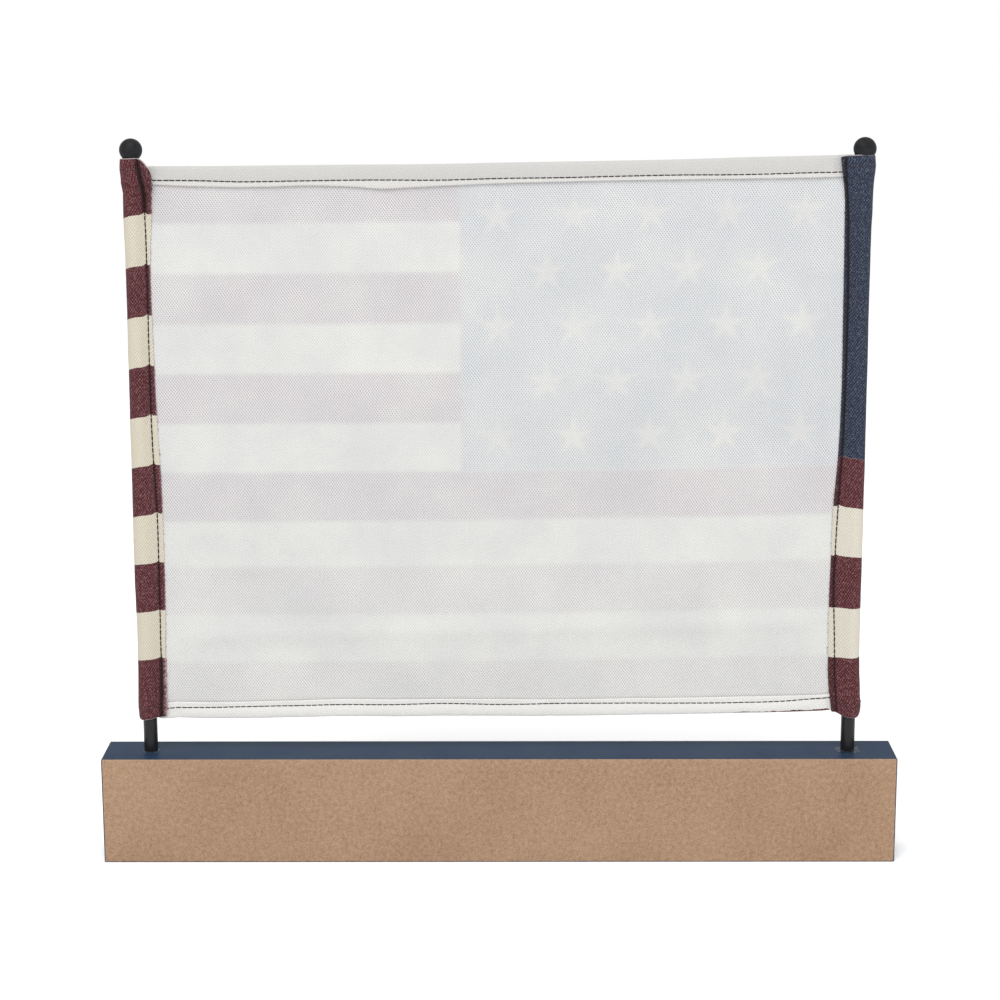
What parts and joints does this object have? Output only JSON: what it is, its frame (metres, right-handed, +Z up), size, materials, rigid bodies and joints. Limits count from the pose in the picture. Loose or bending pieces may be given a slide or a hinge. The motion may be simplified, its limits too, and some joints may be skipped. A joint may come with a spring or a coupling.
{
  "type": "tabletop flag display",
  "caption": "Free-standing tabletop display: a hemmed striped cloth flag sleeved on upright rods with ball finials, glued into a heavy painted block.",
  "frame": {"origin": "middle of the block's underside", "axes": "+Z up, +X along the block to the right as seen from its raw back, +Y towards the printed front"},
  "size_m": [0.36, 0.027, 0.3263],
  "materials": {
    "painted_mdf": "satin navy paint, raw MDF on the back",
    "black_metal": "satin black",
    "finial_paint": "matt black",
    "clear_glue": "dried clear glue",
    "printed_twill": "woven, printed on the front",
    "seam_thread": "sewing thread"
  },
  "bodies": {
    "stand": {"base_block": "painted_mdf", "left_rod": "black_metal", "right_rod": "black_metal", "left_finial": "finial_paint", "right_finial": "finial_paint", "left_socket_glue": "clear_glue", "right_socket_glue": "clear_glue"},
    "flag": {"flag_panel": "printed_twill", "top_hem": "printed_twill", "bottom_hem": "printed_twill", "left_rod_pocket": "printed_twill", "right_rod_pocket": "printed_twill", "top_hem_stitching": "seam_thread", "bottom_hem_stitching": "seam_thread", "left_pocket_stitching": "seam_thread", "right_pocket_stitching": "seam_thread"}
  },
  "joints": [
    {"name": "flag_slide", "type": "slide", "parent": "stand", "child": "flag", "axis": [0, 0, 1], "range_m": [-0.0138, 0]}
  ]
}
